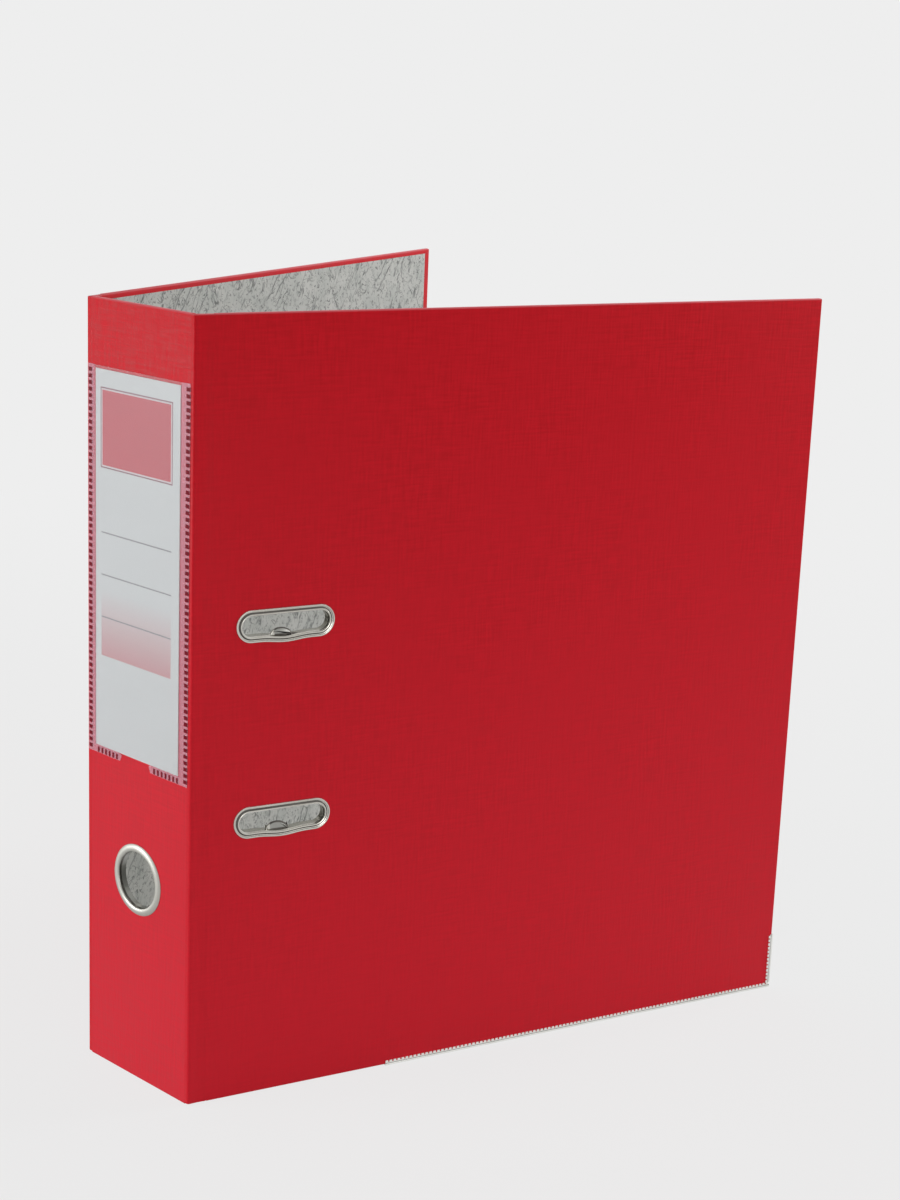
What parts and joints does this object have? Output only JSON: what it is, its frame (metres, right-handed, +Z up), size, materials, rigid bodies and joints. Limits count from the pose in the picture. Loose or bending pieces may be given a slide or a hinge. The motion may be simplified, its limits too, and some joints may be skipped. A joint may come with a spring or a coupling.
{
  "type": "lever arch file",
  "caption": "Upright A4 lever arch file with film hinged covers, marbled lining, finger ring, label pocket, metal edge guards and an arch mechanism worked by a lever.",
  "frame": {"origin": "middle of the spine's foot, on the floor", "axes": "+Z up along the spine, +X from the spine towards the free edges, front cover on -Y and back cover on +Y"},
  "size_m": [0.2772, 0.2407, 0.318],
  "materials": {
    "board": "grey pressed board",
    "film": "fine linen grain",
    "lining": "marbled print",
    "pocket": "clear welded film",
    "card": "smooth white card",
    "nickel": "nickel plated pressed steel",
    "steel": "nickel plated sheet and wire",
    "bush": "moulded",
    "roller": "moulded"
  },
  "bodies": {
    "spine": {"spine_board": "board", "spine_wrap": "film", "spine_lining": "lining", "label_pocket": "pocket", "finger_ring": "nickel", "finger_ring_backing": "nickel"},
    "label": {"spine_label": "card"},
    "front_cover": {"front_board": "board", "front_wrap": "film", "front_lining": "lining", "front_hinge_film": "film", "slot_rim_upper": "nickel", "slot_rim_lower": "nickel", "slot_backing_upper": "nickel", "slot_backing_lower": "nickel", "front_edge_guard": "nickel"},
    "back_cover": {"back_board": "board", "back_wrap": "film", "back_lining": "lining", "back_hinge_film": "film", "back_edge_guard": "nickel", "base_plate": "steel", "base_rivets": "steel", "post_upper": "steel", "post_lower": "steel", "lever_pivot_pin": "steel"},
    "arches": {"arch_wire": "steel"},
    "lever": {"lever_arm": "steel", "roller_pin": "steel"},
    "roller": {"lever_roller": "roller"},
    "hold_down_bar": {"hold_down_bar": "steel", "bar_bush_upper": "bush", "bar_bush_lower": "bush"}
  },
  "joints": [
    {"name": "label_slide", "type": "slide", "parent": "spine", "child": "label", "axis": [0, 0, 1], "range_m": [0, 0.15]},
    {"name": "front_hinge", "type": "hinge", "parent": "spine", "child": "front_cover", "pos_m": [0, -0.0321, 0], "axis": [0, 0, -1], "range_deg": [-17, 73]},
    {"name": "back_hinge", "type": "hinge", "parent": "spine", "child": "back_cover", "pos_m": [0, 0.0321, 0], "axis": [0, 0, 1], "range_deg": [-18.2, 71.8]},
    {"name": "lever_hinge", "type": "hinge", "parent": "back_cover", "child": "lever", "pos_m": [0.04484, 0.03037, 0.1572], "axis": [0, 0, 1], "range_deg": [0, 75]},
    {"name": "arch_hinge", "type": "hinge", "parent": "back_cover", "child": "arches", "pos_m": [0.01874, 0.03305, 0.1572], "axis": [0, 0, -1], "range_deg": [0, 28]},
    {"name": "roller_spin", "type": "hinge", "parent": "lever", "child": "roller", "pos_m": [0.03816, 0.03322, 0.1572], "axis": [0, 0, 1], "continuous": true},
    {"name": "bar_slide", "type": "slide", "parent": "back_cover", "child": "hold_down_bar", "axis": [0.3123, -0.95, 0], "range_m": [0, 0.031]}
  ],
  "couplings": [
    {"joint": "arch_hinge", "follows": "lever_hinge", "ratio": 0.37333}
  ]
}
